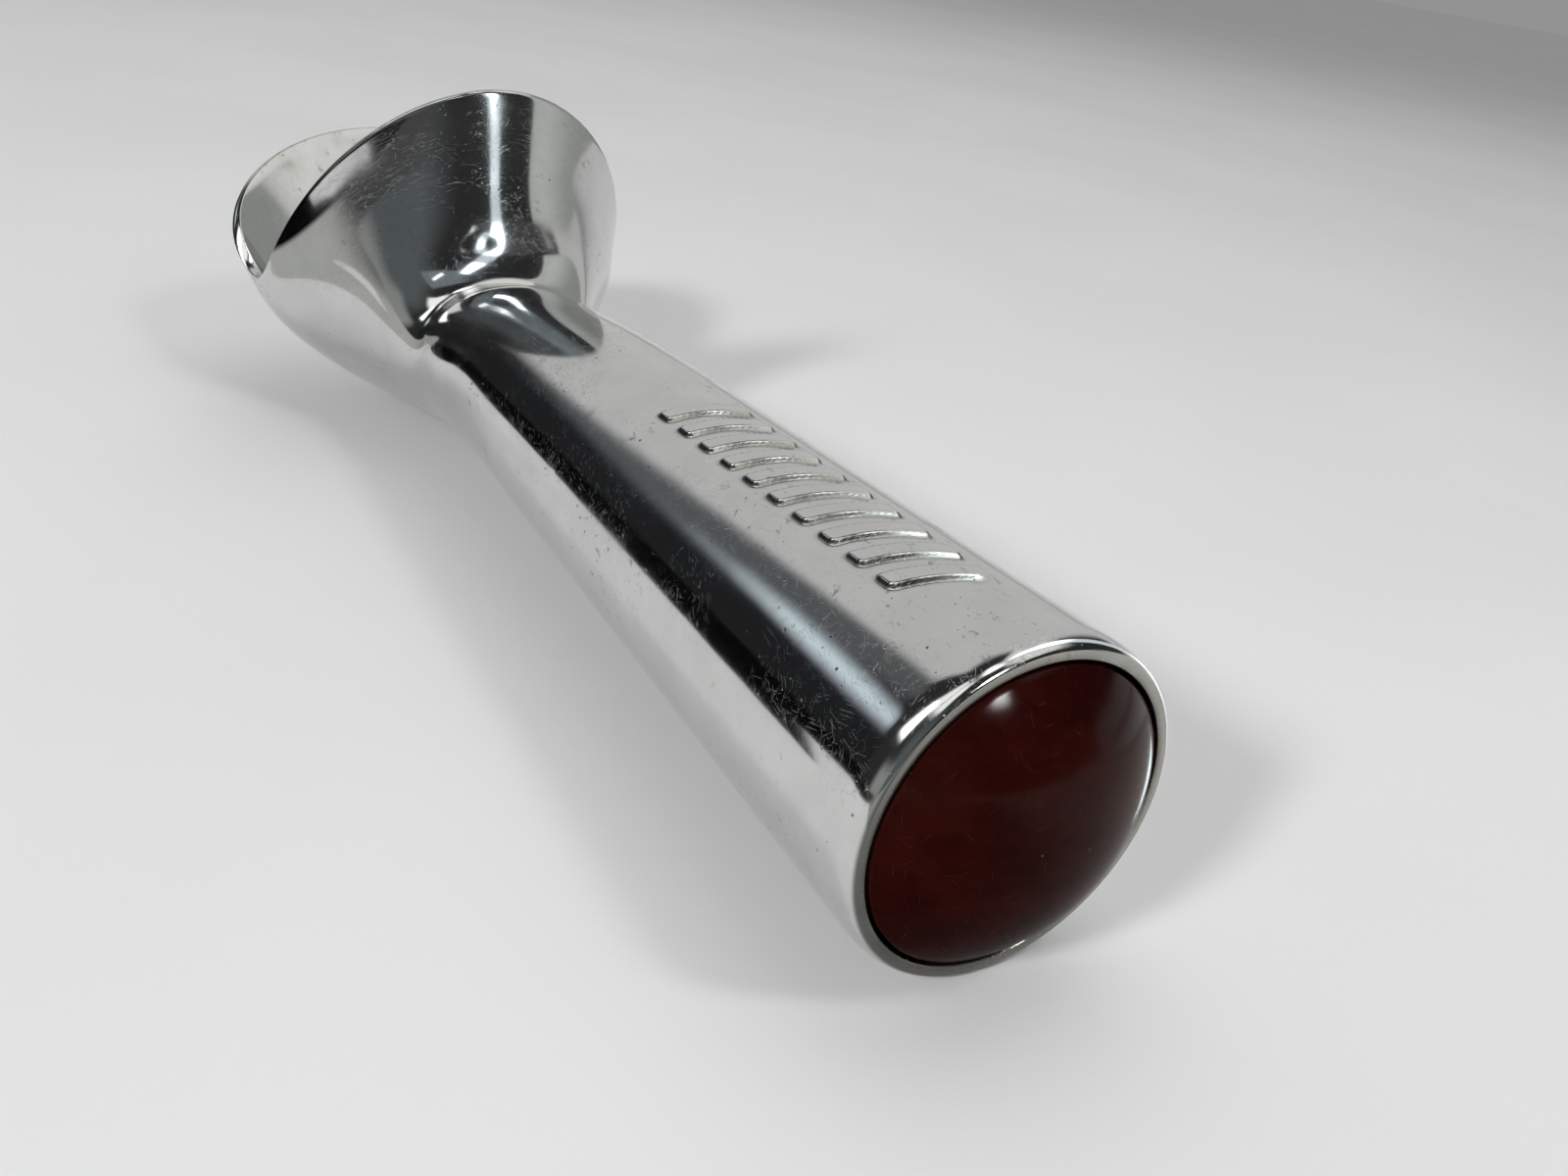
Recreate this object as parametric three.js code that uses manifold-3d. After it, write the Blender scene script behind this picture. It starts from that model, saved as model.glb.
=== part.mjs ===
// A one-piece cast aluminium ice cream scoop with a hollow, liquid-filled handle closed by a domed plug.
// Millimetres, +Z up. Shapes are drawn in handle coordinates: the handle's axis is the X axis, x = 0 is
// the butt's end face, the bowl is at +X and the upright plane y = 0 is the plane of symmetry. The
// finished group is then moved so that its origin is the centre of the base of its bounding box.
import * as THREE from "three";
import { mergeVertices } from "three/addons/utils/BufferGeometryUtils.js";
import Module from "manifold-3d";

// ---- Driving dimensions ----
const BUTT_RADIUS = 16.5; // outside of the handle at the butt
const NECK_RADIUS = 12.55; // the same cone, carried on to the neck
const CONE_START = 3.8; // x where the straight taper begins
const CONE_END = 110.4; // x where the taper has come down to NECK_RADIUS
const SKIN_START = 60; // x where the plain cone hands over to the sculpted skin
const CORNER = { length: 2.6, landRadius: 15.7 }; // rounded outer edge of the butt
const MOUTH = { radius: 14.85, break: 0.15 }; // opening that takes the plug
const SEAT_DEPTH = 7; // counterbore for the plug
const BORE = { mouthRadius: 13, endRadius: 9.2, end: 94, tip: 104 }; // blind liquid chamber

const RIM_WALL = 1.6; // thickness of the bowl at its lip
const BOWL_WALL = 2.8; // thickness lower down
const LIP_CROWN = 0.35; // how far the middle of the lip stands out past its two edges
const CUP_FLOOR = { x: 131, z: -8, tilt: 35 }; // where the inside of the bowl runs out, and its slope
const CUP_JOIN = 4.9; // skin station down to which the cup is parallel to the outside

const PLUG_GAP = 0.4; // all round, between the plug's rim and the mouth
const PLUG = { dome: 5.7, rimLength: 3.2, barrelRadius: 12.6, length: 11 };
const RING = { section: 0.75, x: 5, gap: 0.3 }; // round seal in the step behind the plug's rim
const LIQUID = { start: 20, clearance: 0.35 }; // an air space is left behind the plug for expansion

const ORNAMENT = {
  first: 12.5, // x of the first bar
  pitch: 4.6,
  count: 10,
  width: 2.4,
  height: 8.4, // round the handle
  slant: 3.2,
  relief: 0.45, // height above the handle
  root: 1, // depth that each bar is sunk into the handle
  turn: 9, // degrees round the handle from its top line
};

const COLUMNS = 48; // points round every section
const TURN = 2 * Math.PI;
const DEG = Math.PI / 180;

// ---- Handle cone ----
const coneRadius = (x) =>
  BUTT_RADIUS + ((NECK_RADIUS - BUTT_RADIUS) * (x - CONE_START)) / (CONE_END - CONE_START);

// ---- Sculpted skin of the neck and bowl ----
// Each station is a closed section, the same on both sides of y = 0, given by five [x, y, z] points of
// its +Y half at equal turns: top, shoulder, side, flank and bottom. The number before them is the
// station, which runs from the handle to the lip.
function roundSection(x) {
  const r = coneRadius(x);
  const turns = [0, 1, 2, 3, 4].map((i) => (i * Math.PI) / 4);
  return turns.map((t) => [x, r * Math.sin(t), r * Math.cos(t)]);
}
const STATIONS = [
  [0, roundSection(SKIN_START)],
  [1, roundSection(78)],
  [2, [[94, 0, 12.6], [94, 9.3, 9], [94, 13.2, 0], [94, 9.3, -9.2], [94, 0, -13.2]]],
  // the neck
  [2.7, [[106, 0, 11.3], [105.5, 9.1, 8.1], [105, 12.8, -0.2], [105.5, 9.1, -9.1], [106, 0, -12.9]]],
  [3.3, [[114, 0, 10], [112.9, 9.2, 7.2], [112, 13, -0.4], [113.6, 9.2, -9.2], [115, 0, -13.2]]],
  // the thumb notch: a tight crease on top, where the neck meets the back wall of the bowl
  [3.6, [[116.3, 0, 9.3], [115.6, 9.1, 6.7], [114.8, 13, -0.6], [117.2, 9.2, -9.6], [119.3, 0, -13.9]]],
  [3.9, [[118.8, 0, 9.1], [118, 9.4, 6.6], [118, 13.5, -0.7], [121.4, 9.5, -10.2], [124.2, 0, -14.8]]],
  [4.1, [[119.8, 0, 10.7], [119.6, 10.3, 7.6], [120.6, 14.3, -0.6], [124.9, 10, -10.7], [128.1, 0, -15.5]]],
  // the bowl
  [4.6, [[120.4, 0, 15.2], [122.9, 13.5, 10.4], [127.8, 17.7, -0.2], [134.4, 12.4, -11.6], [138.4, 0, -16.5]]],
  [5.6, [[121.6, 0, 24], [129.8, 19.7, 13.5], [139.7, 24.8, -0.7], [148.5, 19.2, -8.3], [153.8, 0, -9.4]]],
  // the lip
  [6.6, [[122.8, 0, 33.8], [135.5, 24, 14.9], [147.1, 27.4, 1.4], [161.5, 26.9, 8.6], [173.9, 0, 17.9]]],
];
const LIP = STATIONS[STATIONS.length - 1][0];

// A natural cubic spline through rows of numbers at the given knots.
function splineThrough(knots, rows) {
  const n = knots.length;
  const width = rows[0].length;
  const bend = rows.map(() => new Array(width).fill(0)); // second derivatives
  const upper = new Array(n).fill(0);
  for (let i = 1; i < n - 1; i++) {
    const before = knots[i] - knots[i - 1];
    const after = knots[i + 1] - knots[i];
    const pivot = 2 * (before + after) - before * upper[i - 1];
    upper[i] = after / pivot;
    for (let c = 0; c < width; c++) {
      const jump = (rows[i + 1][c] - rows[i][c]) / after - (rows[i][c] - rows[i - 1][c]) / before;
      bend[i][c] = (6 * jump - before * bend[i - 1][c]) / pivot;
    }
  }
  for (let i = n - 2; i > 0; i--) {
    for (let c = 0; c < width; c++) bend[i][c] -= upper[i] * bend[i + 1][c];
  }
  return (s) => {
    let i = 0;
    while (i < n - 2 && s >= knots[i + 1]) i++;
    const h = knots[i + 1] - knots[i];
    const a = knots[i + 1] - s;
    const b = s - knots[i];
    return rows[i].map((value, c) =>
      (bend[i][c] * a ** 3 + bend[i + 1][c] * b ** 3) / (6 * h) +
      (value / h - (bend[i][c] * h) / 6) * a +
      (rows[i + 1][c] / h - (bend[i + 1][c] * h) / 6) * b);
  };
}

const stationAt = splineThrough(STATIONS.map(([s]) => s), STATIONS.map(([, points]) => points.flat()));

// The skin's point at station s and angle t round the section: 0 is the top, a quarter turn is +Y.
// Cosines up to the fourth carry x and z through the station's five points, and sines carry y.
function skinPoint(s, t) {
  const row = stationAt(s);
  const point = new THREE.Vector3();
  for (let k = 0; k <= 4; k++) {
    const cosine = (k % 4 ? 0.5 : 0.25) * Math.cos(k * t);
    const sine = 0.5 * Math.sin(k * t);
    for (let i = 0; i <= 4; i++) {
      const turn = (k * i * Math.PI) / 4;
      const share = (i % 4 ? 1 : 0.5) * cosine * Math.cos(turn);
      point.x += share * row[3 * i];
      point.y += sine * Math.sin(turn) * row[3 * i + 1];
      point.z += share * row[3 * i + 2];
    }
  }
  return point;
}

function skinNormal(s, t) {
  const step = 1e-3;
  const along = skinPoint(s, t).sub(skinPoint(s - step, t));
  const across = skinPoint(s, t + step).sub(skinPoint(s, t - step));
  return along.cross(across).normalize();
}

// ---- Rings and closed skins ----
const angles = Array.from({ length: COLUMNS }, (_, i) => (i * TURN) / COLUMNS);
const ringOf = (pointAt) => angles.map(pointAt);
const circle = (x, r) => ringOf((t) => new THREE.Vector3(x, r * Math.sin(t), r * Math.cos(t)));
const steps = (from, to, count) =>
  Array.from({ length: count + 1 }, (_, i) => from + ((to - from) * i) / count);

// Joins rings into one closed surface. The two ends are closed by a single point each.
function closedSkin(startPoint, rings, endPoint) {
  const points = [startPoint, ...rings.flat(), endPoint];
  const last = points.length - 1;
  const id = (ring, column) => 1 + ring * COLUMNS + (column % COLUMNS);
  const index = [];
  for (let c = 0; c < COLUMNS; c++) {
    index.push(0, id(0, c), id(0, c + 1));
    for (let r = 0; r < rings.length - 1; r++) {
      index.push(id(r, c), id(r + 1, c), id(r + 1, c + 1));
      index.push(id(r, c), id(r + 1, c + 1), id(r, c + 1));
    }
    index.push(last, id(rings.length - 1, c + 1), id(rings.length - 1, c));
  }
  const geometry = new THREE.BufferGeometry().setFromPoints(points);
  geometry.setIndex(index);
  return geometry;
}

// A body of revolution about the handle's axis from its profile of [x, radius] pairs, axis to axis.
function turned(profile) {
  const ends = [profile[0], profile[profile.length - 1]];
  const [start, end] = ends.map(([x]) => new THREE.Vector3(x, 0, 0));
  return closedSkin(start, profile.slice(1, -1).map(([x, r]) => circle(x, r)), end);
}

// ---- Casting: chamber, mouth, handle, neck and bowl as one continuous skin ----
const boreRadius = (x) =>
  BORE.mouthRadius + ((BORE.endRadius - BORE.mouthRadius) * (x - SEAT_DEPTH)) / (BORE.end - SEAT_DEPTH);

function chamberRings() {
  const nose = steps(80, 10, 5).map((a) =>
    circle(BORE.end + (BORE.tip - BORE.end) * Math.sin(a * DEG), BORE.endRadius * Math.cos(a * DEG)));
  const walls = [BORE.end, 50, SEAT_DEPTH].map((x) => circle(x, boreRadius(x)));
  return [...nose, ...walls, circle(SEAT_DEPTH, MOUTH.radius)];
}

function handleRings() {
  const mouth = [circle(MOUTH.break, MOUTH.radius), circle(0, MOUTH.radius + MOUTH.break)];
  const corner = steps(0, 90, 5).map((a) =>
    circle(
      CORNER.length * (1 - Math.cos(a * DEG)),
      CORNER.landRadius + (coneRadius(CORNER.length) - CORNER.landRadius) * Math.sin(a * DEG),
    ));
  return [...mouth, ...corner, circle(30, coneRadius(30))];
}

function bowlRings() {
  const neck = [0, 0.5, 1, 1.5, 2, 2.35, 2.7, 3, 3.3];
  const notch = steps(3.45, 4.65, 12);
  const bowl = steps(4.8, LIP, 12);
  return [...neck, ...notch, ...bowl].map((s) => ringOf((t) => skinPoint(s, t)));
}

// A point inside the bowl: the skin's point at s and t, moved in by the wall's thickness there.
function cupPoint(s, t) {
  const depth = (LIP - s) / (LIP - CUP_JOIN);
  const wall = RIM_WALL + (BOWL_WALL - RIM_WALL) * Math.sin((depth * Math.PI) / 2);
  return skinPoint(s, t).addScaledVector(skinNormal(s, t), -wall);
}

// Below the join each generator runs on as a Bezier arc to the floor point.
function cupArc(t, floor) {
  const tilt = CUP_FLOOR.tilt * DEG;
  const start = cupPoint(CUP_JOIN, t);
  const reach = start.distanceTo(floor) / 2;
  const down = start.clone().sub(cupPoint(CUP_JOIN + 0.05, t)).setLength(reach);
  const out = new THREE.Vector3(-Math.cos(tilt) * Math.cos(t), Math.sin(t), Math.sin(tilt) * Math.cos(t));
  const startHandle = start.clone().add(down);
  const floorHandle = floor.clone().addScaledVector(out, reach);
  return new THREE.CubicBezierCurve3(start, startHandle, floorHandle, floor);
}

function cupRings() {
  const lip = ringOf((t) => {
    const beyond = skinPoint(LIP, t).sub(skinPoint(LIP - 0.05, t)).setLength(LIP_CROWN);
    return skinPoint(LIP, t).lerp(cupPoint(LIP, t), 0.5).add(beyond);
  });
  const sides = steps(LIP, CUP_JOIN, 9).map((s) => ringOf((t) => cupPoint(s, t)));
  const floor = new THREE.Vector3(CUP_FLOOR.x, 0, CUP_FLOOR.z);
  const arcs = angles.map((t) => cupArc(t, floor));
  const lower = [1, 2, 3, 4, 5, 6].map((part) => arcs.map((arc) => arc.getPoint(part / 7)));
  return { rings: [lip, ...sides, ...lower], floor };
}

function castingSkin() {
  const cup = cupRings();
  const rings = [...chamberRings(), ...handleRings(), ...bowlRings(), ...cup.rings];
  return closedSkin(new THREE.Vector3(BORE.tip, 0, 0), rings, cup.floor);
}

// One slanted bar of the raised ornament, drawn flat and wrapped round the handle.
function ornamentBar(number) {
  const { first, pitch, width, height, slant, relief, turn, root } = ORNAMENT;
  const edge = steps(-0.5, 0.5, 4); // enough points up each side to follow the handle's curve
  const left = edge.map((v) => new THREE.Vector2(slant * v, height * v));
  const right = edge.map((v) => new THREE.Vector2(slant * v + width, height * v)).reverse();
  const outline = new THREE.Shape([...left, ...right]);
  const bar = new THREE.ExtrudeGeometry(outline, { depth: relief + root, bevelEnabled: false });
  const place = bar.getAttribute("position");
  for (let i = 0; i < place.count; i++) {
    const x = first + pitch * number + place.getX(i);
    const angle = turn * DEG + place.getY(i) / coneRadius(x);
    const r = coneRadius(x) - root + place.getZ(i);
    place.setXYZ(i, x, r * Math.sin(angle), r * Math.cos(angle));
  }
  return bar;
}

// ---- Solids for the joins ----
const wasm = await Module();
wasm.setup();

function solidOf(geometry) {
  const bare = geometry.clone();
  bare.deleteAttribute("normal");
  bare.deleteAttribute("uv");
  const merged = mergeVertices(bare, 1e-4);
  return new wasm.Manifold(new wasm.Mesh({
    numProp: 3,
    vertProperties: merged.getAttribute("position").array,
    triVerts: new Uint32Array(merged.index.array),
  }));
}

function geometryOf(solid) {
  const { vertProperties, triVerts } = solid.getMesh();
  const geometry = new THREE.BufferGeometry();
  geometry.setAttribute("position", new THREE.BufferAttribute(vertProperties, 3));
  geometry.setIndex(new THREE.BufferAttribute(triVerts, 1));
  return geometry;
}

function castingGeometry() {
  let solid = solidOf(castingSkin());
  for (let i = 0; i < ORNAMENT.count; i++) solid = solid.add(solidOf(ornamentBar(i)));
  return geometryOf(solid);
}

// ---- Plug, seal and liquid ----
const PLUG_RADIUS = MOUTH.radius - PLUG_GAP;

function plugGeometry() {
  const sphere = (PLUG_RADIUS ** 2 + PLUG.dome ** 2) / (2 * PLUG.dome); // radius of the dome's sphere
  const edge = Math.asin(PLUG_RADIUS / sphere);
  const dome = steps(0, edge, 9).map((a) => [
    -PLUG.dome + sphere * (1 - Math.cos(a)),
    sphere * Math.sin(a),
  ]);
  return turned([
    ...dome,
    [PLUG.rimLength, PLUG_RADIUS],
    [PLUG.rimLength, PLUG.barrelRadius],
    [PLUG.length - 1, PLUG.barrelRadius],
    [PLUG.length, PLUG.barrelRadius - 1],
    [PLUG.length, 0],
  ]);
}

function ringGeometry() {
  const radius = MOUTH.radius - RING.section - RING.gap;
  const ring = new THREE.TorusGeometry(radius, RING.section, 8, COLUMNS);
  return ring.rotateY(Math.PI / 2).translate(RING.x, 0, 0);
}

function liquidGeometry() {
  const side = (x) => boreRadius(x) - LIQUID.clearance;
  const tip = BORE.tip - LIQUID.clearance;
  const nose = steps(10, 80, 4).map((a) =>
    [BORE.end + (tip - BORE.end) * Math.sin(a * DEG), side(BORE.end) * Math.cos(a * DEG)]);
  const wall = [LIQUID.start, BORE.end].map((x) => [x, side(x)]);
  return turned([[LIQUID.start, 0], ...wall, ...nose, [tip, 0]]);
}

// ---- Materials ----
const polishedAluminium = new THREE.MeshStandardMaterial({ color: 0xc9cac8, roughness: 0.18, metalness: 1 });
const darkRedPlastic = new THREE.MeshStandardMaterial({ color: 0x3a0a0c, roughness: 0.22, metalness: 0 });
const blackRubber = new THREE.MeshStandardMaterial({ color: 0x161616, roughness: 0.7, metalness: 0 });
const clearLiquid = new THREE.MeshStandardMaterial({ color: 0x9fb9c4, roughness: 0.05, metalness: 0 });

// ---- Assembly ----
function piece(name, geometry, material) {
  const mesh = new THREE.Mesh(geometry, material);
  mesh.name = name;
  return mesh;
}

const scoop = new THREE.Group();
scoop.add(
  piece("body_casting", castingGeometry(), polishedAluminium),
  piece("end_plug", plugGeometry(), darkRedPlastic),
  piece("plug_seal_ring", ringGeometry(), blackRubber),
  piece("heat_transfer_liquid", liquidGeometry(), clearLiquid),
);

// Stand the scoop on z = 0 with its bounding box centred over the origin.
const box = new THREE.Box3().setFromObject(scoop);
const centre = box.getCenter(new THREE.Vector3());
scoop.position.set(-centre.x, -centre.y, -box.min.z);

const group = new THREE.Group();
group.add(scoop);

export default group;
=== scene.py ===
"""A polished cast aluminium ice cream scoop with a domed dark red end plug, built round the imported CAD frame.

Shapes are worked out in handle coordinates: millimetres, the handle's axis is X, x = 0 is the butt's end
face, the bowl is at +X and y = 0 is the plane of symmetry. placed() carries them into the row frame.
"""
import math

import bpy
import numpy as np
from mathutils import Matrix, Vector


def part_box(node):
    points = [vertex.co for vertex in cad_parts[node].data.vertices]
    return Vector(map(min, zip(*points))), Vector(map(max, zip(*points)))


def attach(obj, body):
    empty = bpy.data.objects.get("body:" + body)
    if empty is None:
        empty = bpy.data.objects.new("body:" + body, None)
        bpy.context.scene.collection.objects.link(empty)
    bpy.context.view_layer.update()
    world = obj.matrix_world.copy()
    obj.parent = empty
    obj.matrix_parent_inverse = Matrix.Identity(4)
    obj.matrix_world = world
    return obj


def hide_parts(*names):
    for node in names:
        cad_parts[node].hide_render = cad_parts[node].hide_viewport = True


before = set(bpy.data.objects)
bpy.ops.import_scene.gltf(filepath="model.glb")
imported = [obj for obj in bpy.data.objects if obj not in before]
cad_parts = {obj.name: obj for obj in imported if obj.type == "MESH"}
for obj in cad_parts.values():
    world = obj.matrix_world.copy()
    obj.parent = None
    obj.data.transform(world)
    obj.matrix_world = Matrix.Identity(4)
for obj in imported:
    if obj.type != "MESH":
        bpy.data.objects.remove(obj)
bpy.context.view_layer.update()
MM = 0.001

casting_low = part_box("body_casting")[0]
plug_low, plug_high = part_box("end_plug")
ORIGIN = np.array([casting_low.x, 0.0, (plug_low.z + plug_high.z) / 2])  # x = 0 on the handle's axis


def placed(points):
    """Handle coordinates in millimetres to the row frame in metres."""
    return np.asarray(points) * MM + ORIGIN


# ---------------------------------------------------------------- dimensions
# The same as the CAD's, except that LIP_ROUND is more than the CAD's crown and PLUG_BREAK is only here.
BUTT_RADIUS, NECK_RADIUS = 16.5, 12.55
CONE_START, CONE_END = 3.8, 110.4
CORNER_LENGTH, LAND_RADIUS = 2.6, 15.7
MOUTH_RADIUS, MOUTH_BREAK = 14.85, 0.15
SEAT_DEPTH = 7.0
BORE_MOUTH, BORE_RADIUS, BORE_END, BORE_TIP = 13.0, 9.2, 94.0, 104.0
RIM_WALL, BOWL_WALL, CUP_JOIN = 1.6, 2.8, 4.9
FLOOR_X, FLOOR_Z, FLOOR_TILT = 131.0, -8.0, math.radians(35)
LIP_ROUND = 0.5
PLUG_RADIUS, PLUG_DOME, PLUG_RIM, PLUG_BARREL, PLUG_LENGTH = 14.45, 5.7, 3.2, 12.6, 11.0
PLUG_BREAK = 0.05
BAR_FIRST, BAR_PITCH, BAR_COUNT = 12.5, 4.6, 10
BAR_WIDTH, BAR_HEIGHT, BAR_SLANT, BAR_RELIEF = 2.4, 8.4, 3.2, 0.45
BAR_TURN = math.radians(9)


def cone_radius(x):
    return BUTT_RADIUS + (NECK_RADIUS - BUTT_RADIUS) * (x - CONE_START) / (CONE_END - CONE_START)


def round_section(x):
    r = cone_radius(x)
    return [[x, r * math.sin(i * math.pi / 4), r * math.cos(i * math.pi / 4)] for i in range(5)]


# Stations of the sculpted skin: five points of the +Y half at equal turns, from the top to the bottom.
# The neck and bowl rows started from a least-squares fit of the outline, rounded to 0.1 mm.
STATIONS = [
    (0.0, round_section(60)),
    (1.0, round_section(78)),
    (2.0, [[94, 0, 12.6], [94, 9.3, 9], [94, 13.2, 0], [94, 9.3, -9.2], [94, 0, -13.2]]),
    (2.7, [[106, 0, 11.3], [105.5, 9.1, 8.1], [105, 12.8, -0.2], [105.5, 9.1, -9.1], [106, 0, -12.9]]),
    (3.3, [[114, 0, 10], [112.9, 9.2, 7.2], [112, 13, -0.4], [113.6, 9.2, -9.2], [115, 0, -13.2]]),
    (3.6, [[116.3, 0, 9.3], [115.6, 9.1, 6.7], [114.8, 13, -0.6], [117.2, 9.2, -9.6], [119.3, 0, -13.9]]),
    (3.9, [[118.8, 0, 9.1], [118, 9.4, 6.6], [118, 13.5, -0.7], [121.4, 9.5, -10.2], [124.2, 0, -14.8]]),
    (4.1, [[119.8, 0, 10.7], [119.6, 10.3, 7.6], [120.6, 14.3, -0.6], [124.9, 10, -10.7], [128.1, 0, -15.5]]),
    (4.6, [[120.4, 0, 15.2], [122.9, 13.5, 10.4], [127.8, 17.7, -0.2], [134.4, 12.4, -11.6],
           [138.4, 0, -16.5]]),
    (5.6, [[121.6, 0, 24], [129.8, 19.7, 13.5], [139.7, 24.8, -0.7], [148.5, 19.2, -8.3], [153.8, 0, -9.4]]),
    (6.6, [[122.8, 0, 33.8], [135.5, 24, 14.9], [147.1, 27.4, 1.4], [161.5, 26.9, 8.6], [173.9, 0, 17.9]]),
]
LIP = STATIONS[-1][0]


class Spline:
    """A natural cubic spline through rows of numbers."""

    def __init__(self, knots, rows):
        self.k, self.v = np.array(knots, float), np.array(rows, float)
        n = len(self.k)
        h = np.diff(self.k)
        a, b = np.eye(n), np.zeros_like(self.v)
        for i in range(1, n - 1):
            a[i, i - 1 : i + 2] = h[i - 1], 2 * (h[i - 1] + h[i]), h[i]
            b[i] = 6 * ((self.v[i + 1] - self.v[i]) / h[i] - (self.v[i] - self.v[i - 1]) / h[i - 1])
        self.m = np.linalg.solve(a, b)

    def __call__(self, s):
        i = int(np.clip(np.searchsorted(self.k, s, side="right") - 1, 0, len(self.k) - 2))
        h = self.k[i + 1] - self.k[i]
        a, b = self.k[i + 1] - s, s - self.k[i]
        m, v = self.m, self.v
        bend = (m[i] * a**3 + m[i + 1] * b**3) / (6 * h)
        return bend + (v[i] / h - m[i] * h / 6) * a + (v[i + 1] / h - m[i + 1] * h / 6) * b


station_at = Spline([s for s, _ in STATIONS], [np.ravel(p) for _, p in STATIONS])


def skin(s, t):
    """Points of the outer skin at station s and angles t (0 is the top, a quarter turn is +Y)."""
    row = station_at(s).reshape(5, 3)
    out = np.zeros((len(t), 3))
    for k in range(5):
        cosine = (0.5 if k % 4 else 0.25) * np.cos(k * t)
        sine = 0.5 * np.sin(k * t)
        for i in range(5):
            turn = k * i * math.pi / 4
            share = (1 if i % 4 else 0.5) * cosine * math.cos(turn)
            out[:, 0] += share * row[i, 0]
            out[:, 1] += sine * math.sin(turn) * row[i, 1]
            out[:, 2] += share * row[i, 2]
    return out


def skin_normal(s, t, step=1e-3):
    along = skin(s, t) - skin(s - step, t)
    across = skin(s, t + step) - skin(s, t - step)
    n = np.cross(along, across)
    return n / np.linalg.norm(n, axis=1, keepdims=True)


def circle(x, r, t):
    return np.stack([np.full_like(t, x), r * np.sin(t), r * np.cos(t)], axis=1)


def smooth(value, low, high):
    """0 at low, 1 at high, smooth between. It works for low above high too."""
    f = np.clip((value - low) / (high - low), 0, 1)
    return f * f * (3 - 2 * f)


# ---------------------------------------------------------------- the raised ornament
def bar_distance(x, t):
    """Signed distance in millimetres to the nearest slanted bar, on the unrolled handle."""
    v = (t - BAR_TURN) * cone_radius(x)
    best = np.full_like(v, 99.0)
    lean = math.cos(math.atan2(BAR_SLANT, BAR_HEIGHT))
    corner = 0.55
    for i in range(BAR_COUNT):
        u = x - (BAR_FIRST + BAR_PITCH * i + BAR_WIDTH / 2) - BAR_SLANT * v / BAR_HEIGHT
        qx = np.abs(u) * lean - (BAR_WIDTH / 2 * lean - corner)
        qy = np.abs(v) - (BAR_HEIGHT / 2 - corner)
        outside = np.hypot(np.maximum(qx, 0), np.maximum(qy, 0))
        best = np.minimum(best, outside + np.minimum(np.maximum(qx, qy), 0) - corner)
    return best


# ---------------------------------------------------------------- meshes
def loft(name, start, rings, end, attributes=None):
    """One closed skin through rings of equal length, closed by a single point at each end."""
    count = len(rings[0])
    points = np.vstack([[start], *rings, [end]])
    first = 1 + np.arange(len(rings)) * count
    c = np.arange(count)
    n = (c + 1) % count
    quads = []
    for r in range(len(rings) - 1):
        quads.append(np.stack([first[r] + c, first[r + 1] + c, first[r + 1] + n, first[r] + n], axis=1))
    quads = np.vstack(quads)
    last = len(points) - 1
    cap0 = np.stack([np.zeros_like(c), first[0] + c, first[0] + n], axis=1)
    cap1 = np.stack([np.full_like(c, last), first[-1] + n, first[-1] + c], axis=1)
    mesh = bpy.data.meshes.new(name)
    faces = [tuple(map(int, f)) for f in (*cap0, *quads, *cap1)]
    mesh.from_pydata([tuple(map(float, p)) for p in placed(points)], [], faces)
    for key, values in (attributes or {}).items():
        field = mesh.attributes.new(key, "FLOAT", "POINT")
        field.data.foreach_set("value", np.concatenate([[0.0], *values, [0.0]]).astype(np.float32))
    mesh.shade_smooth()
    mesh.update()
    obj = bpy.data.objects.new(name, mesh)
    bpy.context.scene.collection.objects.link(obj)
    return obj


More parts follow.
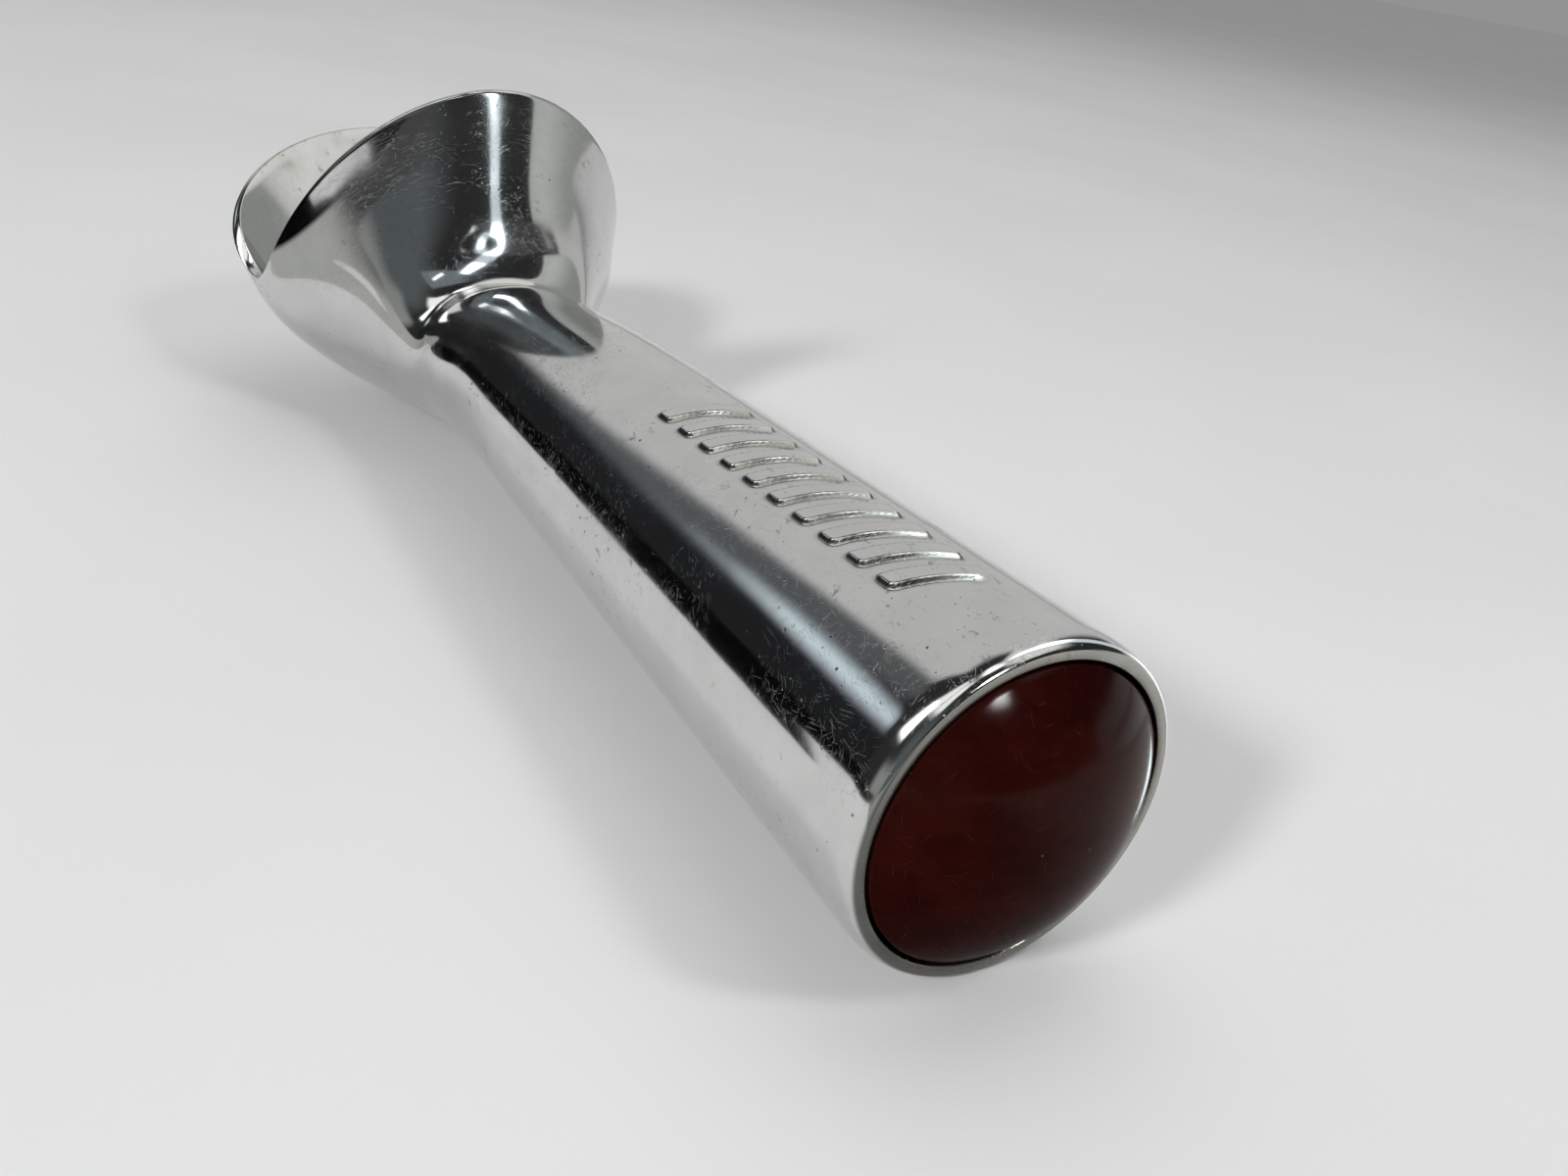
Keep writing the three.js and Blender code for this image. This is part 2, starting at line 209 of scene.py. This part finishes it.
def casting():
    # Turns round the axis in degrees, finer across the bars than elsewhere.
    bars_from, bars_to = -11, 29
    before = np.linspace(-180, bars_from, 76)[:-1]
    after = np.linspace(bars_to, 180, 68)[:-1]
    t = np.radians(np.concatenate([before, np.arange(bars_from, bars_to, 0.62), after]))
    zero = np.zeros_like(t)
    rings, grime_and_shade, along = [], [], []

    def add(points, dirt_and_shade=0.0):
        step = np.linalg.norm(points - rings[-1], axis=1).mean() if rings else 0.0
        rings.append(points)
        grime_and_shade.append(zero + dirt_and_shade)
        along.append(along[-1] + step * MM if along else zero)

    def bore(x):
        return BORE_MOUTH + (BORE_RADIUS - BORE_MOUTH) * (x - SEAT_DEPTH) / (BORE_END - SEAT_DEPTH)

    for a in np.radians(np.linspace(82, 4, 9)):
        add(circle(BORE_END + (BORE_TIP - BORE_END) * math.sin(a), BORE_RADIUS * math.cos(a), t))
    for x in (BORE_END, 70, 50, 30, SEAT_DEPTH):
        add(circle(x, bore(x), t))
    # From the mouth to the corner the rings carry grime and painted shade, strongest in the gap round the plug.
    for x in (SEAT_DEPTH, SEAT_DEPTH - 0.05, 4, 1.5, 0.6):
        add(circle(x, MOUTH_RADIUS, t), 1)
    for x, r in ((MOUTH_BREAK, MOUTH_RADIUS), (0.04, MOUTH_RADIUS + 0.05), (0, MOUTH_RADIUS + MOUTH_BREAK)):
        add(circle(x, r, t), 1)
    add(circle(0, (MOUTH_RADIUS + MOUTH_BREAK + LAND_RADIUS) / 2, t), 0.45)
    add(circle(0, LAND_RADIUS - 0.04, t), 0.25)
    for a in np.radians(np.linspace(2, 90, 15)):
        out = LAND_RADIUS + (cone_radius(CORNER_LENGTH) - LAND_RADIUS) * math.sin(a)
        add(circle(CORNER_LENGTH * (1 - math.cos(a)), out, t), max(0.0, 0.2 * (1 - a)))
    for x in (3.2, 4, 5, 6.2, 7.5, 9, 10.5):
        add(circle(x, cone_radius(x), t))
    for x in np.arange(11.4, 66.2, 0.25):
        d = bar_distance(x, t)
        lift = smooth(d, 0.28, -0.26)
        soft = 0.03 * smooth(d, 0.9, 0.2)  # a faint fillet round the foot of each bar
        # Grime and painted shade darken the foot of each bar.
        dirt_and_shade = smooth(np.abs(d - 0.15), 0.55, 0.0)
        add(circle(x, cone_radius(x) + soft + BAR_RELIEF * lift, t), dirt_and_shade)
    start = 6.4 / 18  # x = 66.4, just past the last straight ring
    stations = np.concatenate([
        np.linspace(start, 3.4, 42),
        np.linspace(3.4, 4.7, 62)[1:],
        np.linspace(4.7, LIP, 46)[1:],
    ])
    for s in stations:
        add(skin(s, t))

    def wall(s):
        return RIM_WALL + (BOWL_WALL - RIM_WALL) * math.sin((LIP - s) / (LIP - CUP_JOIN) * math.pi / 2)

    def inside(s):
        return skin(s, t) - wall(s) * skin_normal(s, t)

    outer, inner = skin(LIP, t), inside(LIP)
    beyond = outer - skin(LIP - 0.05, t)
    beyond *= LIP_ROUND / np.linalg.norm(beyond, axis=1, keepdims=True)
    for a in np.radians(np.linspace(12, 168, 11)):
        add((outer + inner) / 2 + (outer - inner) / 2 * math.cos(a) + beyond * math.sin(a))
    for s in np.linspace(LIP, CUP_JOIN, 34):
        add(inside(s))

    # Below the join each generator runs on as a Bezier arc to the floor point.
    floor = np.array([FLOOR_X, 0, FLOOR_Z])
    begin = inside(CUP_JOIN)
    reach = np.linalg.norm(begin - floor, axis=1, keepdims=True) / 2
    down = begin - inside(CUP_JOIN + 0.05)
    down = begin + down / np.linalg.norm(down, axis=1, keepdims=True) * reach
    out = np.stack([-math.cos(FLOOR_TILT) * np.cos(t), np.sin(t), math.sin(FLOOR_TILT) * np.cos(t)], axis=1)
    out = floor + out * reach
    for v in np.linspace(0, 1, 22)[1:-1]:
        w = 1 - v
        add(w**3 * begin + 3 * w * w * v * down + 3 * w * v * v * out + v**3 * floor)
    around = [t * 15 * MM] * len(rings)
    fields = {"grime_and_shade": grime_and_shade, "along": along, "around": around}
    obj = loft("casting", [BORE_TIP, 0, 0], rings, floor, fields)
    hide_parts("body_casting")
    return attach(obj, "root")


def plug():
    t = np.linspace(0, 2 * math.pi, 161)[:-1]
    sphere = (PLUG_RADIUS**2 + PLUG_DOME**2) / (2 * PLUG_DOME)
    edge = math.asin(PLUG_RADIUS / sphere)
    turns = np.linspace(0, edge, 56)[1:-1]
    profile = [(-PLUG_DOME + sphere * (1 - math.cos(a)), sphere * math.sin(a)) for a in turns]
    profile += [(-0.03, PLUG_RADIUS - 0.08), (PLUG_BREAK, PLUG_RADIUS), (1.4, PLUG_RADIUS)]
    profile += [(PLUG_RIM - PLUG_BREAK, PLUG_RADIUS), (PLUG_RIM, PLUG_RADIUS - PLUG_BREAK)]
    profile += [(PLUG_RIM, PLUG_BARREL + PLUG_BREAK), (PLUG_RIM + PLUG_BREAK, PLUG_BARREL)]
    profile += [(PLUG_LENGTH - 1, PLUG_BARREL), (PLUG_LENGTH, PLUG_BARREL - 1), (PLUG_LENGTH, 6)]
    obj = loft("plug", [-PLUG_DOME, 0, 0], [circle(x, r, t) for x, r in profile], [PLUG_LENGTH, 0, 0])
    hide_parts("end_plug")
    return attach(obj, "root")


# ---------------------------------------------------------------- node helpers
class Tree:
    """Short calls for building a node tree. A value may be a number, a tuple or a socket."""

    def __init__(self, tree):
        self.tree = tree
        tree.nodes.clear()

    def node(self, kind, inputs=None, **settings):
        made = self.tree.nodes.new("ShaderNode" + kind)
        for key, value in settings.items():
            setattr(made, key, value)
        for key, value in (inputs or {}).items():
            self.put(made.inputs[key], value)
        return made

    def put(self, socket, value):
        if isinstance(value, bpy.types.NodeSocket):
            self.tree.links.new(value, socket)
        else:
            socket.default_value = value

    def math(self, operation, *values, clamp=False):
        made = self.node("Math", operation=operation, use_clamp=clamp)
        for i, value in enumerate(values):
            self.put(made.inputs[i], value)
        return made.outputs[0]

    def ramp(self, value, low, high, out_low=0.0, out_high=1.0):
        """value mapped smoothly from low..high to out_low..out_high, and held beyond."""
        inputs = {"Value": value, "From Min": low, "From Max": high, "To Min": out_low, "To Max": out_high}
        return self.node("MapRange", inputs, interpolation_type="SMOOTHSTEP").outputs[0]

    def mix(self, factor, a, b):
        made = self.node("Mix", data_type="RGBA")
        self.put(made.inputs[0], factor)
        for index, colour in ((6, a), (7, b)):
            self.put(made.inputs[index], colour if isinstance(colour, bpy.types.NodeSocket) else (*colour, 1))
        return made.outputs[2]

    def noise(self, vector, scale, detail=2.0, rough=0.5, warp=0.0):
        made = self.node("TexNoise", {"Vector": vector, "Scale": scale, "Detail": detail, "Roughness": rough,
                                      "Distortion": warp})
        return made.outputs[0]

    def stretched(self, vector, turn, scale):
        return self.node("Mapping", {"Vector": vector, "Rotation": turn, "Scale": scale}).outputs[0]

    def scratches(self, flat, turns, length, width, amount):
        """Fine straight broken lines on a flat pair of coordinates, one set for each turn in degrees.
        length and width are in millimetres; amount is the noise level above which a line shows."""
        total = 0.0
        for i, turn in enumerate(turns):
            scale = (1000 / length, 1000 / width, 1.0)
            shifted = self.node("Mapping", {"Vector": flat, "Rotation": (0, 0, math.radians(turn)),
                                            "Location": (0.37 * i, 0.71 * i, 0)}).outputs[0]
            coords = self.stretched(shifted, (0, 0, 0), scale)
            inputs = {"Vector": coords, "Scale": 1.0, "Detail": 0.0}
            line = self.node("TexNoise", inputs, noise_dimensions="2D")
            total = self.math("MAXIMUM", total, self.ramp(line.outputs[0], amount, amount + 0.04))
        return total

    def specks(self, vector, spacing, size, share):
        """Small round marks. spacing and size are in millimetres; share of the cells carry one."""
        cells = self.node("TexVoronoi", {"Vector": vector, "Scale": 1000 / spacing})
        near = self.ramp(cells.outputs["Distance"], size / spacing, 0.5 * size / spacing)
        pick = self.node("SeparateColor", {"Color": cells.outputs["Color"]}).outputs[0]
        return self.math("MULTIPLY", near, self.math("LESS_THAN", pick, share))


def material(name):
    made = bpy.data.materials.new(name)
    made.use_nodes = True
    return made, Tree(made.node_tree)


def finish_material(n, surface):
    n.node("OutputMaterial", {"Surface": surface.outputs[0]})


# ---------------------------------------------------------------- materials
def aluminium():
    made, n = material("worn_polished_aluminium")
    at = n.node("TexCoord").outputs["Object"]
    cloud = n.noise(at, 55, 4, 0.6)
    haze = n.noise(at, 190, 3, 0.55)
    flat = n.node("CombineXYZ", {"X": n.node("Attribute", attribute_name="along").outputs["Fac"],
                                 "Y": n.node("Attribute", attribute_name="around").outputs["Fac"]}).outputs[0]
    lines = n.scratches(flat, (8, 35, 71, 102, 128, 163), 3.0, 0.045, 0.87)
    lines = n.math("MAXIMUM", lines, n.scratches(flat, (20, 55, 92, 150), 1.2, 0.05, 0.865))
    patches = n.ramp(n.noise(at, 120, 2), 0.35, 0.60)
    lines = n.math("MULTIPLY", lines, patches)
    pits = n.math("MAXIMUM", n.specks(at, 1.6, 0.19, 0.40), n.specks(at, 0.9, 0.11, 0.35))
    pits = n.math("MULTIPLY", pits, n.ramp(n.noise(at, 70, 2), 0.44, 0.58))
    scuffs = n.noise(n.stretched(flat, (0, 0, 0), (500, 900, 1)), 1.0, 5, 0.7, 0.4)
    scuffs = n.math("MULTIPLY", n.ramp(scuffs, 0.58, 0.66), n.ramp(n.noise(at, 80, 2), 0.48, 0.62))
    nicks = n.math("MULTIPLY", n.specks(at, 0.75, 0.07, 0.40), n.ramp(n.noise(at, 105, 3), 0.44, 0.60))
    # Grime with painted shade: greenish grey in the gap round the plug and round the foot of each bar.
    grime_and_shade = n.node("Attribute", attribute_name="grime_and_shade").outputs["Fac"]
    grime_and_shade = n.math("MULTIPLY", grime_and_shade, n.ramp(n.noise(at, 260, 3), 0.25, 0.55, 0.35, 1.0))
    stain = n.math("MULTIPLY", n.ramp(cloud, 0.60, 0.74), n.ramp(haze, 0.42, 0.62))

    colour = n.mix(n.ramp(haze, 0.3, 0.7), (0.71, 0.712, 0.708), (0.66, 0.662, 0.657))
    colour = n.mix(n.math("MULTIPLY", stain, 0.35), colour, (0.42, 0.40, 0.35))
    colour = n.mix(n.math("MULTIPLY", scuffs, 0.60), colour, (0.25, 0.24, 0.21))
    colour = n.mix(n.math("MULTIPLY", grime_and_shade, 0.75), colour, (0.34, 0.345, 0.28))
    colour = n.mix(n.math("MULTIPLY", pits, 0.75), colour, (0.10, 0.10, 0.10))

    rough = n.ramp(cloud, 0.3, 0.7, 0.07, 0.12)
    rough = n.math("ADD", rough, n.math("MULTIPLY", lines, 0.13))
    rough = n.math("ADD", rough, n.math("MULTIPLY", stain, 0.12))
    rough = n.math("ADD", rough, n.math("MULTIPLY", scuffs, 0.20))
    rough = n.math("ADD", rough, n.math("MULTIPLY", grime_and_shade, 0.22), clamp=True)

    height = n.math("MULTIPLY", n.noise(at, 95, 1), 0.030)
    height = n.math("ADD", height, n.math("MULTIPLY", n.noise(at, 700, 2), 0.0022))
    height = n.math("SUBTRACT", height, n.math("MULTIPLY", lines, 0.002))
    height = n.math("SUBTRACT", height, n.math("MULTIPLY", pits, 0.02))
    height = n.math("SUBTRACT", height, n.math("MULTIPLY", nicks, 0.012))
    bump = n.node("Bump", {"Height": height, "Strength": 1.0, "Distance": MM})
    surface = n.node("BsdfPrincipled", {"Base Color": colour, "Metallic": 1.0, "Roughness": rough,
                                        "Normal": bump.outputs[0]})
    finish_material(n, surface)
    return made


def red_plastic():
    made, n = material("dark_red_moulded_plastic")
    at = n.node("TexCoord").outputs["Object"]
    swirl = n.noise(n.stretched(at, (0.5, 0.2, 0.0), (90, 110, 190)), 1.0, 5, 0.65, 0.3)
    cloud = n.noise(at, 130, 3)
    side = n.node("SeparateXYZ", {"Vector": at})
    flat = n.node("CombineXYZ", {"X": side.outputs[1], "Y": side.outputs[2]}).outputs[0]
    lines = n.scratches(flat, (12, 48, 95, 140), 2.4, 0.05, 0.90)
    dust = n.specks(at, 1.3, 0.10, 0.12)
    colour = n.mix(n.ramp(swirl, 0.35, 0.65), (0.015, 0.0017, 0.0012), (0.027, 0.0036, 0.0025))
    colour = n.mix(n.math("MULTIPLY", dust, 0.6), colour, (0.30, 0.24, 0.19))
    colour = n.mix(n.math("MULTIPLY", lines, 0.12), colour, (0.22, 0.15, 0.12))
    rough = n.ramp(cloud, 0.35, 0.7, 0.10, 0.18)
    rough = n.math("ADD", rough, n.math("MULTIPLY", lines, 0.2))
    height = n.math("MULTIPLY", n.noise(at, 260, 2), 0.006)
    height = n.math("SUBTRACT", height, n.math("MULTIPLY", lines, 0.002))
    bump = n.node("Bump", {"Height": height, "Strength": 1.0, "Distance": MM})
    surface = n.node("BsdfPrincipled", {"Base Color": colour, "Roughness": rough, "Specular IOR Level": 0.14,
                                        "Normal": bump.outputs[0]})
    finish_material(n, surface)
    return made


def rubber():
    made, n = material("black_rubber")
    at = n.node("TexCoord").outputs["Object"]
    grain = n.noise(at, 2200, 3)
    colour = n.mix(n.ramp(n.noise(at, 300, 2), 0.35, 0.65), (0.016, 0.016, 0.016), (0.03, 0.029, 0.028))
    bump = n.node("Bump", {"Height": grain, "Strength": 0.5, "Distance": 0.02 * MM})
    surface = n.node("BsdfPrincipled", {"Base Color": colour, "Roughness": n.ramp(grain, 0.3, 0.7, 0.6, 0.8),
                                        "Normal": bump.outputs[0]})
    finish_material(n, surface)
    return made


def liquid():
    made, n = material("clear_handle_liquid")
    at = n.node("TexCoord").outputs["Object"]
    drift = n.noise(at, 40, 2)
    colour = n.mix(n.ramp(drift, 0.3, 0.7), (0.52, 0.64, 0.68), (0.60, 0.70, 0.73))
    rough = n.ramp(drift, 0.3, 0.7, 0.03, 0.07)
    surface = n.node("BsdfPrincipled", {"Base Color": colour, "Roughness": rough, "IOR": 1.36})
    finish_material(n, surface)
    return made


def dress(obj, made):
    obj.data.materials.clear()
    obj.data.materials.append(made)


dress(casting(), aluminium())
dress(plug(), red_plastic())
dress(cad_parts["plug_seal_ring"], rubber())
dress(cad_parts["heat_transfer_liquid"], liquid())


# ---------------------------------------------------------------- floor
def table():
    mesh = bpy.data.meshes.new("floor")
    size = 8.0
    corners = [(-size, -size, 0), (size, -size, 0), (size, size, 0), (-size, size, 0)]
    mesh.from_pydata(corners, [], [(0, 1, 2, 3)])
    obj = bpy.data.objects.new("floor", mesh)
    bpy.context.scene.collection.objects.link(obj)
    made, n = material("plain_pale_floor")
    at = n.node("TexCoord").outputs["Object"]
    colour = n.mix(n.ramp(n.noise(at, 9, 3), 0.3, 0.7), (0.80, 0.805, 0.795), (0.83, 0.835, 0.825))
    surface = n.node("BsdfPrincipled", {"Base Color": colour, "Roughness": 0.9, "Specular IOR Level": 0.0})
    finish_material(n, surface)
    dress(obj, made)


table()


# ---------------------------------------------------------------- light
# Reflections, matt surfaces and the camera each meet a light of their own. The panels, cards and cloths
# show only in reflections, and some change with the place that reflects them. They suit the camera's view
# and are not a set-up that a real studio could build.
def direction(azimuth, elevation):
    a, e = math.radians(azimuth), math.radians(elevation)
    return Vector((math.cos(a) * math.cos(e), math.sin(a) * math.cos(e), math.sin(e)))


# Soft panels round the studio: azimuth from +X towards +Y, elevation, width, height, softness, colour, level.
PANELS = [
    (125, 15, 60, 60, 15, (0.85, 0.96, 1.0), 0.12),  # room to the left of the camera
    (0, 90, 360, 14, 3, (1, 1, 1), 2.5),  # ceiling lamp
    (90, 64, 60, 26, 4, (1, 1, 0.98), 1.2),  # ceiling panels, left and right
    (-95, 64, 110, 34, 7, (1, 1, 0.96), 0.85),
    (-20, 20, 84, 90, 5, (1, 1, 0.99), 0.60),  # pale backdrop behind the bowl
    (30, 0, 43, 36, 3, (0.9, 0.95, 1.0), 0.018),  # dark doorway on the left
    (26, 28, 13, 26, 4, (0.9, 0.95, 1.0), 0.12),
    (37, 23, 12, 8, 4, (0.80, 0.93, 1.0), 0.95),  # its bright lintel
    (67, 42, 16, 24, 3, (1, 1, 1), 2.8),  # window
    (-76, 4, 96, 12, 3, (1, 1, 0.99), 0.56),  # pale table top running up on the right
    (92, 6, 34, 20, 6, (0.97, 1.0, 0.97), 0.30),  # far end of the room on the left
    (-172, 42, 10, 9, 3, (1, 1, 0.97), 60.0),  # lamp behind the camera
]
SKY = 0.028  # the rest of the room, in reflections
AMBIENT = 0.33  # what every other ray meets, apart from the camera's
BACKGROUND = (0.29, 0.291, 0.288)

# Where a reflected ray starts, along X in metres. Each pair is the start and the end of the change.
FROM_BOWL = (0.026, 0.034)
FROM_LAND = (-0.0834, -0.0840)
FROM_DOME = (-0.0838, -0.0842)
CRESCENT_SLOPE, CRESCENT_EDGE = 1.634, (0.0671, 0.0659)


def studio():
    world = bpy.data.worlds.new("studio")
    bpy.context.scene.world = world
    world.use_nodes = True
    n = Tree(world.node_tree)
    ray = n.node("TexCoord").outputs["Generated"]
    x, y, z = n.node("SeparateXYZ", {"Vector": ray}).outputs
    azimuth = n.math("DEGREES", n.math("ARCTAN2", y, x))
    elevation = n.math("DEGREES", n.math("ARCSINE", z))
    colour = n.mix(0.0, (SKY, SKY, SKY * 0.99), (0, 0, 0))
    for az, el, width, height, soft, tint, level in PANELS:
        aside = n.math("ABSOLUTE", n.math("WRAP", n.math("SUBTRACT", azimuth, az), -180.0, 180.0))
        above = n.math("ABSOLUTE", n.math("SUBTRACT", elevation, el))
        mask = n.math("MULTIPLY", n.ramp(aside, width / 2 + soft, width / 2 - soft),
                      n.ramp(above, height / 2 + soft, height / 2 - soft))
        colour = n.mix(mask, colour, tuple(level * c for c in tint))
    path = n.node("LightPath").outputs
    colour = n.mix(path["Is Glossy Ray"], (AMBIENT,) * 3, colour)
    colour = n.mix(path["Is Camera Ray"], colour, BACKGROUND)
    back = n.node("Background", {"Color": colour, "Strength": 1.0})
    n.node("OutputWorld", {"Surface": back.outputs[0]})
    world.cycles.sampling_method = "NONE"  # each kind of ray has to meet its own colour


def softbox(name, place, size, watts, tint=(1, 1, 1)):
    """A round soft lamp aimed at the middle of the floor. It does not show in reflections."""
    data = bpy.data.lights.new(name, "AREA")
    data.shape = "DISK"
    data.size = size
    data.energy = watts
    data.color = tint
    obj = bpy.data.objects.new(name, data)
    obj.location = place
    obj.rotation_euler = Vector(place).to_track_quat("Z", "Y").to_euler()
    obj.visible_glossy = False
    bpy.context.scene.collection.objects.link(obj)


def card(name, corners, surface):
    """A flat card or cloth that is seen only in reflections. The corners are in metres."""
    mesh = bpy.data.meshes.new(name)
    mesh.from_pydata(corners, [], [tuple(range(len(corners)))])
    obj = bpy.data.objects.new(name, mesh)
    bpy.context.scene.collection.objects.link(obj)
    made, n = material(name)
    finish_material(n, surface(n))
    dress(obj, made)
    obj.visible_camera = obj.visible_diffuse = obj.visible_shadow = obj.visible_transmission = False


def viewer(n):
    """Where the ray that meets a card came from, as x, y and z sockets."""
    back = n.node("NewGeometry").outputs
    ray = n.node("VectorMath", {0: back["Incoming"], "Scale": n.node("LightPath").outputs["Ray Length"]},
                 operation="SCALE").outputs[0]
    origin = n.node("VectorMath", {0: back["Position"], 1: ray}, operation="ADD").outputs[0]
    return n.node("SeparateXYZ", {"Vector": origin}).outputs


def cloth(name, outline, grey, grey_to_bowl):
    """A dark cloth on the floor, with a tone for each place that reflects it. To the bowl's back wall it is
    grey_to_bowl, pale on the left, and dark in a narrow crescent by the lip. To the land round the plug, and
    to all that lies beyond it, it is pale."""
    def surface(n):
        x, y, z = viewer(n)
        to_bowl = n.ramp(x, *FROM_BOWL)
        u, v, _ = n.node("SeparateXYZ", {"Vector": n.node("NewGeometry").outputs["Incoming"]}).outputs
        lean = n.math("DIVIDE", u, n.math("MULTIPLY", v, -1.0))
        crescent = n.ramp(n.math("ADD", z, n.math("MULTIPLY", y, CRESCENT_SLOPE)), *CRESCENT_EDGE)
        pale = n.math("MULTIPLY", n.ramp(lean, 0.36, -0.04), n.ramp(v, 0.0, -0.1))
        tone = n.mix(pale, (grey_to_bowl,) * 3, (0.45, 0.46, 0.44))
        tone = n.mix(n.math("MULTIPLY", to_bowl, crescent), (grey, grey, grey), tone)
        tone = n.mix(n.ramp(x, *FROM_LAND), tone, (0.40, 0.41, 0.36))
        return n.node("Emission", {"Color": tone, "Strength": 1.0})

    card(name, [(x, y, 0.0003) for x, y in outline], surface)


def mat(name, outline):
    """A floor tone that only the dome reflects: dark, and paler towards -Y."""
    def surface(n):
        to_dome = n.ramp(viewer(n)[0], *FROM_DOME)
        y = n.node("SeparateXYZ", {"Vector": n.node("TexCoord").outputs["Object"]}).outputs[1]
        tone = n.mix(n.ramp(y, 0.02, -0.06), (0.03, 0.03, 0.03), (0.50, 0.48, 0.46))
        lit = n.node("Emission", {"Color": tone, "Strength": 1.0})
        return n.node("MixShader", {0: to_dome, 1: n.node("BsdfTransparent").outputs[0], 2: lit.outputs[0]})

    card(name, [(x, y, 0.0006) for x, y in outline], surface)


def glow(name, corners, tint, ramps, bowl_only=False):
    """A lit card. Each ramp is an axis, two places on it and the light at both; the ramps are added up."""
    def surface(n):
        place = n.node("SeparateXYZ", {"Vector": n.node("TexCoord").outputs["Object"]}).outputs
        level = 0.0
        for axis, low, high, at_low, at_high in ramps:
            level = n.math("ADD", level, n.ramp(place[axis], low, high, at_low, at_high))
        lit = n.node("Emission", {"Color": (*tint, 1), "Strength": level})
        if not bowl_only:
            return lit
        seen = n.ramp(viewer(n)[0], *FROM_BOWL)
        return n.node("MixShader", {0: seen, 1: n.node("BsdfTransparent").outputs[0], 2: lit.outputs[0]})

    card(name, corners, surface)


CLOTH_LEFT = [(-0.02, 0.068), (0.43, 0.068), (8.0, 1.5), (8.0, 8.0), (1.6, 8.0), (0.05, 0.13)]
CLOTH_FRONT = [
    (-7.5, -8), (-0.95, -1.0), (-0.052, -0.098), (-0.115, -0.05), (-0.125, 0.0), (-0.12, 0.06),
    (-0.1, 0.25), (0.02, 0.185), (0.06, 0.13), (1.6, 8.0), (-8, 8.0), (-8, -8),
]
DOME_MAT = [(-0.6, -0.5), (-0.07, -0.10), (-0.07, 0.10), (-0.6, 0.5)]
TALL_LAMP = [(-0.072, -0.046, 0.0), (-0.080, -0.034, 0.0), (-0.080, -0.004, 0.1), (-0.072, -0.016, 0.1)]
HIGH_CARD = [(-0.08, -0.04, 0.09), (-0.08, 0.1, 0.09), (-0.08, 0.1, 0.19), (-0.08, -0.04, 0.19)]
BRIGHT_BAR = [
    (-0.079, 0.037, 0.0985), (-0.079, 0.072, 0.1235), (-0.079, 0.066, 0.1325), (-0.079, 0.031, 0.1075),
]
RIGHT_CARD = [(-0.06, -0.085, 0.035), (0.17, -0.085, 0.035), (0.17, -0.085, 0.15), (-0.06, -0.085, 0.15)]

studio()
cloth("cloth_left", CLOTH_LEFT, 0.003, 0.003)
cloth("cloth_front", CLOTH_FRONT, 0.012, 0.07)
mat("dome_mat", DOME_MAT)
glow("tall_lamp", TALL_LAMP, (0.85, 0.95, 1.0), [(2, 0.034, 0.022, 0.9, 5.0), (2, 0.050, 0.062, 0.0, 3.5)])
glow("high_card", HIGH_CARD, (0.80, 0.93, 1.0), [(1, -0.03, 0.0, 0.08, 0.24)])
glow("bright_bar", BRIGHT_BAR, (0.92, 0.98, 1.0), [(1, 0, 1, 2.6, 2.6)])
glow("right_card", RIGHT_CARD, (0.96, 1.0, 0.96), [(0, 0.03, -0.03, 0.32, 0.55)], bowl_only=True)
softbox("right_lamp", (-0.25, -0.15, 0.38), 0.09, 0.35)
softbox("left_lamp", (-0.33, 0.80, 0.50), 0.15, 5.2, (0.98, 0.99, 1.0))
softbox("high_lamp", (0.35, -0.30, 1.0), 1.1, 2.9)


# ---------------------------------------------------------------- camera
# The place, the angles and the lens come from a least-squares fit to the photograph's view.
CAMERA_AT = (-0.15223, 0.07439, 0.08132)
CAMERA_HEADING, CAMERA_PITCH, CAMERA_ROLL = -34.853, -25.875, 9.907
CAMERA_LENS, SENSOR = 32.894, 36.0


def camera():
    data = bpy.data.cameras.new("camera")
    data.sensor_width, data.lens = SENSOR, CAMERA_LENS
    data.clip_start, data.clip_end = 0.005, 20
    obj = bpy.data.objects.new("camera", data)
    forward = direction(CAMERA_HEADING, CAMERA_PITCH)
    right = forward.cross(Vector((0, 0, 1))).normalized()
    up = right.cross(forward)
    roll = math.radians(CAMERA_ROLL)
    right, up = right * math.cos(roll) + up * math.sin(roll), up * math.cos(roll) - right * math.sin(roll)
    turn = Matrix((right, up, -forward)).transposed().to_4x4()
    obj.matrix_world = Matrix.Translation(CAMERA_AT) @ turn
    bpy.context.scene.collection.objects.link(obj)
    bpy.context.scene.camera = obj


camera()
bpy.context.scene.view_settings.view_transform = "Standard"

# ---------------------------------------------------------------- the end
bpy.context.view_layer.update()
